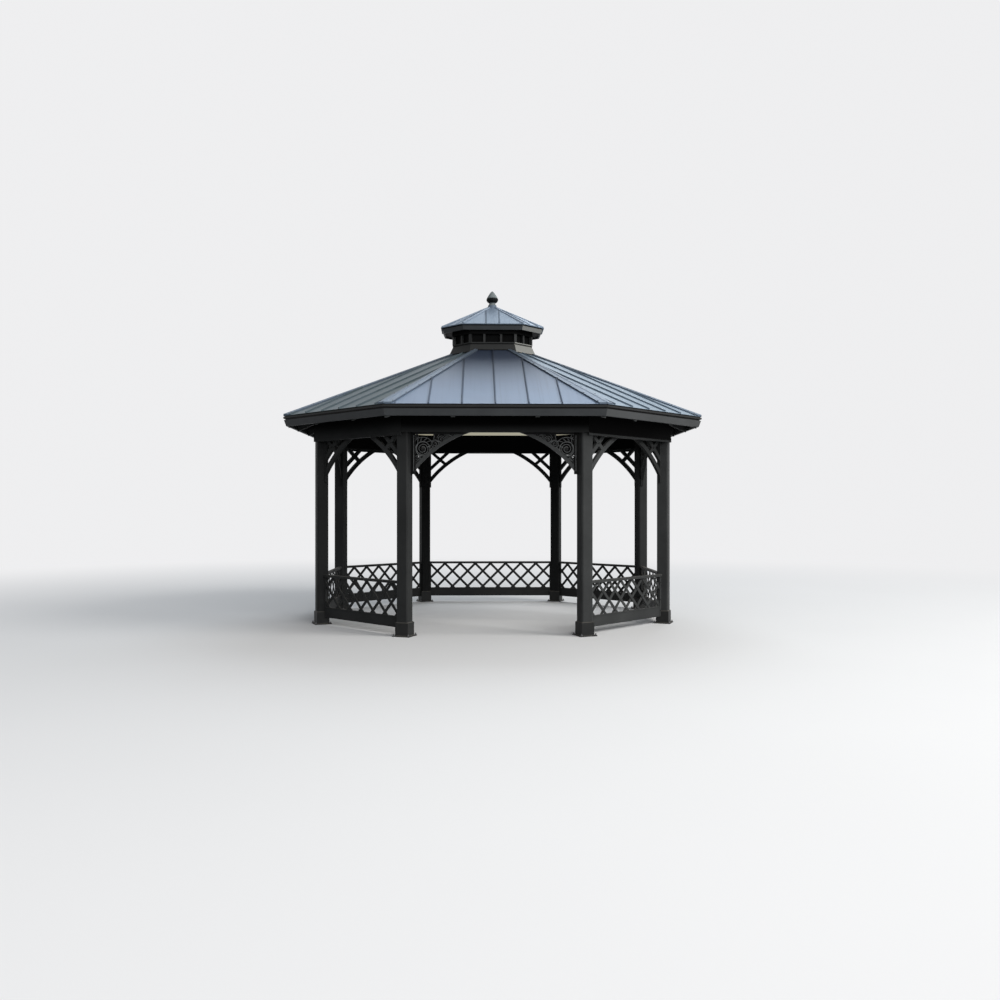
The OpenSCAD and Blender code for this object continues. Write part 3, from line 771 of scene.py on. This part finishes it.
def rosette():
    piece = turned("rosette", 16, [(1.0, -0.1), (1.0, 0.08), (0.8, 0.26), (0.5, 0.16),
                                   (0.42, 0.3), (0.3, 0.5), (0.12, 0.58)])
    bpy.ops.object.mode_set(mode="EDIT")
    bpy.ops.mesh.select_mode(type="VERT")
    bpy.ops.mesh.select_all(action="DESELECT")
    bpy.ops.object.mode_set(mode="OBJECT")
    for vertex in piece.data.vertices:
        turn = math.degrees(math.atan2(vertex.co.y, vertex.co.x)) / 22.5
        rim = math.hypot(vertex.co.x, vertex.co.y) > 0.6
        vertex.select = rim and round(turn) % 2 == 1
    bpy.ops.object.mode_set(mode="EDIT")
    bpy.ops.transform.resize(value=(0.78, 0.78, 1), center_override=(0, 0, 0))
    bpy.ops.mesh.normals_make_consistent(inside=False)
    bpy.ops.object.mode_set(mode="OBJECT")
    return piece


flower = rosette()
frame_of_bay, half = bays["entrance"]
for name, side in (("left", -1), ("right", 1)):
    places = []
    for out, down, *_, size in SCROLLS:
        along = side * (half - POST_FACE - out)
        for place in both_faces(frame_of_bay, along, WORK_FACE, BEAM_UNDER + down):
            places.append(place @ Matrix.Scale(size, 4))
    hand_over(stamp("scroll_rosettes_" + name, flower, places), frame_paint)
scrap(flower)
print("rosettes on each bracket:", 2 * len(SCROLLS))

# %% [markdown]
# A round bead runs along the middle of every strip: it is what catches the light and
# makes the scrollwork legible from afar. One more runs down the stile beside its
# slots. Each bead is a curve with a round section, sunk to half its depth in the strip.
# Rings are closed, a scroll's bead ends at its rosette, and a leaf's rib is thick in
# the middle with pointed ends. The curves are drawn in the bracket's own plane, then
# carried to both faces of both brackets and turned into mesh.

# %% Beads along the scrolls
RINGS = [(0.489, -0.043, 0.019), (0.530, -0.036, 0.009), (0.064, -0.362, 0.015),
         (0.066, -0.047, 0.017)]
ARC_RADIUS, ARC_FROM, ARC_TO = 0.135, 36, 134
# the small leaves between the first ring and the arc
CREST_RADIUS, CREST_TURNS, CREST_LEAN = 0.110, (52, 76, 100, 122), 38
CREST_LEAF = (0.062, 0.015)
STILE_FACE, STILE_BEAD = 0.020, [(0.028, -0.040), (0.028, -0.460)]
# middle of a leaf, the way it points in degrees, its length and width
LEAVES = [
    (0.205, -0.170, 24, 0.076, 0.022), (0.236, -0.196, 48, 0.066, 0.018),
    (0.122, -0.312, 4, 0.048, 0.017), (0.098, -0.345, 40, 0.044, 0.014),
    (0.266, -0.058, 78, 0.082, 0.018), (0.311, -0.050, 58, 0.066, 0.017),
    (0.330, -0.142, 24, 0.056, 0.015), (0.393, -0.036, 12, 0.044, 0.013),
]


def swirl(out, down, radii, degrees, steps):
    """Points round a middle while radius and direction go from first to last."""
    path = []
    for k in range(steps + 1):
        radius, turn = [a + (b - a) * k / steps for a, b in (radii, degrees)]
        path.append((out + radius * math.cos(math.radians(turn)),
                     down + radius * math.sin(math.radians(turn))))
    return path


def ring(out, down, radius):
    steps = 36 if radius > 0.03 else 20
    return swirl(out, down, (radius, radius), (0, 360), steps)[:-1]


def rib(out, down, turn, length, width):
    step = Vector((math.cos(math.radians(turn)), math.sin(math.radians(turn)))) * length
    shape = [(-0.46, 0.1), (-0.3, 0.7), (0, 1.0), (0.3, 0.7), (0.46, 0.1)]
    path = [(out + step.x * share, down + step.y * share) for share, _ in shape]
    return path, [width * 0.3 * thick for _, thick in shape]


def bead_lines():
    """Each bead's path, its radius at every point and whether it is closed."""
    lines = []
    for out, down, around, radius, start, turns, _ in SCROLLS:
        lines.append((ring(out, down, around), 0.06 * around + 0.001, True))
        path = swirl(out, down, (radius, radius * 0.28), (start, start + 360 * turns),
                     int(26 * turns))
        lines.append((path, 0.02 * radius + 0.0028, False))
    for out, down, around in RINGS:
        lines.append((ring(out, down, around), 0.0028, True))
    out, down = SCROLLS[0][:2]
    arc = swirl(out, down, (ARC_RADIUS, ARC_RADIUS), (ARC_FROM, ARC_TO), 20)
    lines.append((arc, 0.0042, False))
    for turn in CREST_TURNS:
        tip = swirl(out, down, (CREST_RADIUS, CREST_RADIUS), (turn, turn), 1)[0]
        lines.append((*rib(*tip, turn - CREST_LEAN, *CREST_LEAF), False))
    for leaf in LEAVES:
        lines.append((*rib(*leaf), False))
    return [(path, thick if isinstance(thick, list) else [thick] * len(path), closed)
            for path, thick, closed in lines]


def round_bars(name, lines, roundness=1):
    """One mesh of round bars; a line is its points, their radii and if it closes."""
    curve = bpy.data.curves.new(name, "CURVE")
    curve.dimensions = "3D"
    curve.bevel_depth = 1.0
    curve.bevel_resolution = roundness
    curve.use_fill_caps = True
    for path, radii, closed in lines:
        spline = curve.splines.new("POLY")
        spline.points.add(len(path) - 1)
        spline.use_cyclic_u = closed
        for point, place, radius in zip(spline.points, path, radii):
            point.co = (*place, 1)
            point.radius = radius
    set_down(name, curve)
    bpy.ops.object.convert(target="MESH")
    return bpy.context.object


def on_bracket(side, height, path):
    """A path in the bracket's own plane, carried to one of its faces."""
    return [(side * (half - POST_FACE - out), height, BEAM_UNDER + down) for out, down in path]


for name, side in (("left", -1), ("right", 1)):
    lines = []
    for face in (-1, 1):
        for path, radii, closed in bead_lines():
            lines.append((on_bracket(side, face * WORK_FACE, path), radii, closed))
        lines.append((on_bracket(side, face * STILE_FACE, STILE_BEAD), (0.0042, 0.0042), False))
    piece = round_bars("scroll_beads_" + name, lines)
    piece.data.transform(frame_of_bay)
    hand_over(piece, bead_paint_painted_highlight)
    print(piece.name, len(piece.data.polygons), "faces")

# %% [markdown]
# The folded caps over the hips are screwed down along both edges. The screws sit on
# sloping sheet, so their places are worked out in the slope's own directions: x down
# the slope from the eaves, y along the eaves and z square to the sheet. One function
# gives that frame for any slope, another the edge of the cap at a height on it.

# %% Screws along the hip caps
EAVES_OUT, LONGER, RISE, EAVES_Z = 2.408, 0.1104, 0.4776, 2.666
CURB_OUT, CAP_TOP, CAP_EAVES, CAP_CURB = 0.38, 0.017, 0.092, 0.034
FIRST_SCREW, SCREW_STEP, SCREWS, SCREW_IN = 0.06, 0.29, 7, 0.012


def slope_frame(turn):
    lean = 1 + LONGER * abs(math.cos(turn))
    pitch = math.atan(RISE / lean)
    place = (Matrix.Rotation(turn, 4, "Z") @ Matrix.Translation((EAVES_OUT * lean, 0, EAVES_Z))
             @ Matrix.Rotation(pitch, 4, "Y"))
    return place, (EAVES_OUT - CURB_OUT) * lean / math.cos(pitch)


def cap_edge(turn, share, side):
    """Where the screws run: on the cap, a little in from its edge."""
    out = EAVES_OUT + (CURB_OUT - EAVES_OUT) * share
    middle = -math.sin(2 * turn) / math.sqrt(2) * LONGER * out
    long_side = abs(math.cos(turn)) < 0.01
    half = out / (1 + math.sqrt(2)) + (LONGER * out if long_side else 0)
    return middle + side * (half - CAP_EAVES - (CAP_CURB - CAP_EAVES) * share + SCREW_IN)


def roof_screw():
    t = CAP_TOP
    return turned("roof_screw", 8, [(0.0090, t - 0.0005), (0.0090, t + 0.0012),
                                    (0.0058, t + 0.0020), (0.0054, t + 0.0048),
                                    (0.0034, t + 0.0060)])


screw = roof_screw()
places = []
for eighth in range(8):
    turn = eighth * math.pi / 4
    on_slope, run = slope_frame(turn)
    for side in (-1, 1):
        for k in range(SCREWS):
            up = FIRST_SCREW + k * SCREW_STEP
            edge = cap_edge(turn, up / run, side)
            places.append(on_slope @ Matrix.Translation((-up, edge, 0)))
hand_over(stamp("hip_cap_screws", screw, places), zinc)
scrap(screw)
print("roof screws:", len(places))

# %% [markdown]
# The frame's ring beams stop at the posts, a little too far in. A casing of folded
# sheet brings their face out past the posts' corners and runs on over the heads of the
# posts, mitred at each. In the four slanting bays it hangs four centimetres below the
# beam; in the others it hangs one, which clears the scrolls. A narrow lip runs along
# its lower edge. Its paint is palest on the right and darkest in the square bays,
# which is painted light and shade. As on the posts, painted shade stands for the shade
# of the eaves: on the right it covers all but the lip, on the left and in the square
# bays it thins out downwards.

# %% Casing round the posts' heads
CASING_BACK, CASING_FACE = 0.046, 0.092
SLANTING_EDGE, SQUARE_EDGE = BEAM_UNDER - 0.038, BEAM_UNDER - 0.010
LIP_PROUD, LIP_HIGH, MITRE_GAP = 0.004, 0.024, 0.0006
HEAD_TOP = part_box("ring_beams")[1][2]
MITRE = math.tan(math.radians(22.5))


def casing(name, bay_names, bottom):
    """One closed, mitred length of casing for each bay, as one piece."""
    lip = CASING_FACE + LIP_PROUD
    section = [(CASING_BACK, bottom), (lip - 0.002, bottom), (lip, bottom + 0.002),
               (lip, bottom + LIP_HIGH), (CASING_FACE, bottom + LIP_HIGH + LIP_PROUD),
               (CASING_FACE, HEAD_TOP - 0.001), (CASING_BACK, HEAD_TOP - 0.001)]
    points, faces = [], []
    for bay in bay_names:
        frame_of_bay, half = bays[bay]
        first, count = len(points), len(section)
        for side in (-1, 1):
            for out, high in section:
                along = side * (half + out * MITRE - MITRE_GAP)
                points.append(frame_of_bay @ Vector((along, -out, high)))
        faces.append(tuple(range(first, first + count)))
        faces.append(tuple(range(first + 2 * count - 1, first + count - 1, -1)))
        for k in range(count):
            here, after = first + k, first + (k + 1) % count
            faces.append((here, here + count, after + count, after))
    mesh = bpy.data.meshes.new(name)
    mesh.from_pydata(points, [], faces)
    piece = set_down(name, mesh)
    bpy.ops.object.mode_set(mode="EDIT")
    bpy.ops.mesh.select_all(action="SELECT")
    bpy.ops.mesh.normals_make_consistent(inside=False)
    bpy.ops.object.mode_set(mode="OBJECT")
    return piece


# its bays, lower edge, strength of the paint, and where the painted shade starts and closes
CASINGS = {
    "right": (["front_right", "back_right"], SLANTING_EDGE, 2.3, 0.020, 0.030),
    "left": (["front_left", "back_left"], SLANTING_EDGE, 1.8, 0.0, 0.200),
    "square": (["entrance", "left", "right", "back"], SQUARE_EDGE, 1.15, 0.0, 0.110),
}
for side, (bay_names, edge, factor, shade_starts, shade_closes) in CASINGS.items():
    # painted light and shade: each side's own strength, and painted shade of the eaves
    casing_paint = charcoal_paint("charcoal_paint_on_the_casing_" + side, strength(factor),
                                  0.1, 0.02, painted_shade=(edge + shade_starts, edge + shade_closes))
    hand_over(casing("casing_" + side, bay_names, edge), casing_paint)
print("casing hangs to", round(SLANTING_EDGE, 3), "and", round(SQUARE_EDGE, 3))

# %% [markdown]
# On the lantern the hips are closed by rolls instead of flat caps, in a pale sheet
# that is a painted highlight. Each is a thin round shell over the solid roll of the
# frame, from just above the corner of the eaves to the seat of the finial, where it
# is dressed down flat.

# %% Rolls on the lantern's hips
LANTERN_OUT, LANTERN_LONGER, LANTERN_EAVES, LANTERN_TIP = 0.503, 0.200, 3.955, 4.295
ROLL = 0.0125


def hip_rolls():
    near = LANTERN_OUT / (1 + math.sqrt(2))
    tip, lines = Vector((0, 0, LANTERN_TIP)), []
    for x, y in ((near + LANTERN_LONGER, LANTERN_OUT), (LANTERN_OUT + LANTERN_LONGER, near)):
        for sx, sy in ((1, 1), (-1, 1), (-1, -1), (1, -1)):
            corner = Vector((sx * x, sy * y, LANTERN_EAVES))
            path = [corner.lerp(tip, share) for share in (0.018, 0.024, 0.5, 0.86, 0.92)]
            lines.append((path, (ROLL * 0.7, ROLL, ROLL, ROLL, ROLL * 0.7), False))
    return round_bars("lantern_hip_rolls", lines, 2)


rolls = hip_rolls()
hand_over(rolls, sheet_rolls_painted_highlight)
print("hip rolls:", len(rolls.data.polygons), "faces")

# %% [markdown]
# The studio: a wide pale floor, an even pale surround, and large soft lamps. The key
# stands far out to the right, a weaker one fills from the front, and one hangs high
# behind the roof, where the sky would be, so that the front slope mirrors it. They
# stay low enough for the floor to keep its tone. The camera and reflections see the
# surround paler than the light it gives, so that the background stays plain without
# flooding the paint, and far away the floor fades into it. For the same reason the
# floor throws little light up into the roof.

# %% Floor, surround and lamps
PALE = (0.86, 0.86, 0.87)
HAZE = (3.5, 16.0)


def seen_directly(shop):
    """1 for the camera's own rays and for reflections, 0 for light that scatters."""
    ray = [shop.add("ShaderNodeLightPath", out=kind)
           for kind in ("Is Camera Ray", "Is Glossy Ray", "Is Transmission Ray")]
    return (ray[0] + ray[1] + ray[2]).math("MINIMUM", 1.0)


def pale_floor():
    bpy.ops.object.select_all(action="DESELECT")
    bpy.ops.mesh.primitive_plane_add(size=120, location=(0, 12, 0))
    floor = bpy.context.object
    floor.name = "studio_floor"
    bpy.ops.object.transform_apply(location=True, rotation=True, scale=True)
    shop = material_shop("studio_floor")
    where = shop.place()
    x, y, _ = shop.split(where)
    seen = seen_directly(shop)
    cloud = shop.noise(where, 0.4, 2.0)
    tone = shop.mix(cloud, (0.79, 0.79, 0.785), (0.82, 0.82, 0.815))
    tone = shop.mix(seen, (0.16, 0.16, 0.16), tone)
    ground = shop.add("ShaderNodeBsdfDiffuse", None, {"Color": tone})
    haze = shop.add("ShaderNodeEmission", None, {"Color": (*PALE, 1.0)})
    far = (x * x + y * y).math("SQRT").ramp(*HAZE) * seen
    shader = shop.add("ShaderNodeMixShader", None, {0: far, 1: ground, 2: haze})
    shop.add("ShaderNodeOutputMaterial", None, {0: shader})
    floor.data.materials.append(shop.owner)
    return floor


def surround():
    world = bpy.data.worlds.new("surround")
    bpy.context.scene.world = world
    shop = Shop(world)
    light = shop.add("ShaderNodeBackground", None, {0: (0.92, 0.95, 1.0, 1), 1: 0.30})
    seen = shop.add("ShaderNodeBackground", None, {0: (*PALE, 1.0), 1: 1.0})
    blend = shop.add("ShaderNodeMixShader", None, {0: seen_directly(shop), 1: light, 2: seen})
    shop.add("ShaderNodeOutputWorld", None, {0: blend})


def lamp(name, place, target, size, power, colour=(1, 1, 1)):
    bpy.ops.object.select_all(action="DESELECT")
    bpy.ops.object.light_add(type="AREA", location=place)
    light = bpy.context.object
    light.name = name
    light.data.shape = "SQUARE"
    light.data.size = size
    light.data.energy = power
    light.data.color = colour
    light.rotation_euler = (Vector(target) - Vector(place)).to_track_quat("-Z", "Y").to_euler()
    return light


floor = pale_floor()
surround()
lamp("key", (20, -9, 15), (0, 0, 1.5), 11, 3700, (1.0, 0.98, 0.95))
lamp("fill", (7, -17, 9), (0, 0, 1.8), 12, 1600)
lamp("sky", (4.5, 21, 27), (0, 0, 3), 18, 3650, (0.86, 0.93, 1.0))
bpy.context.scene.view_settings.view_transform = "Standard"
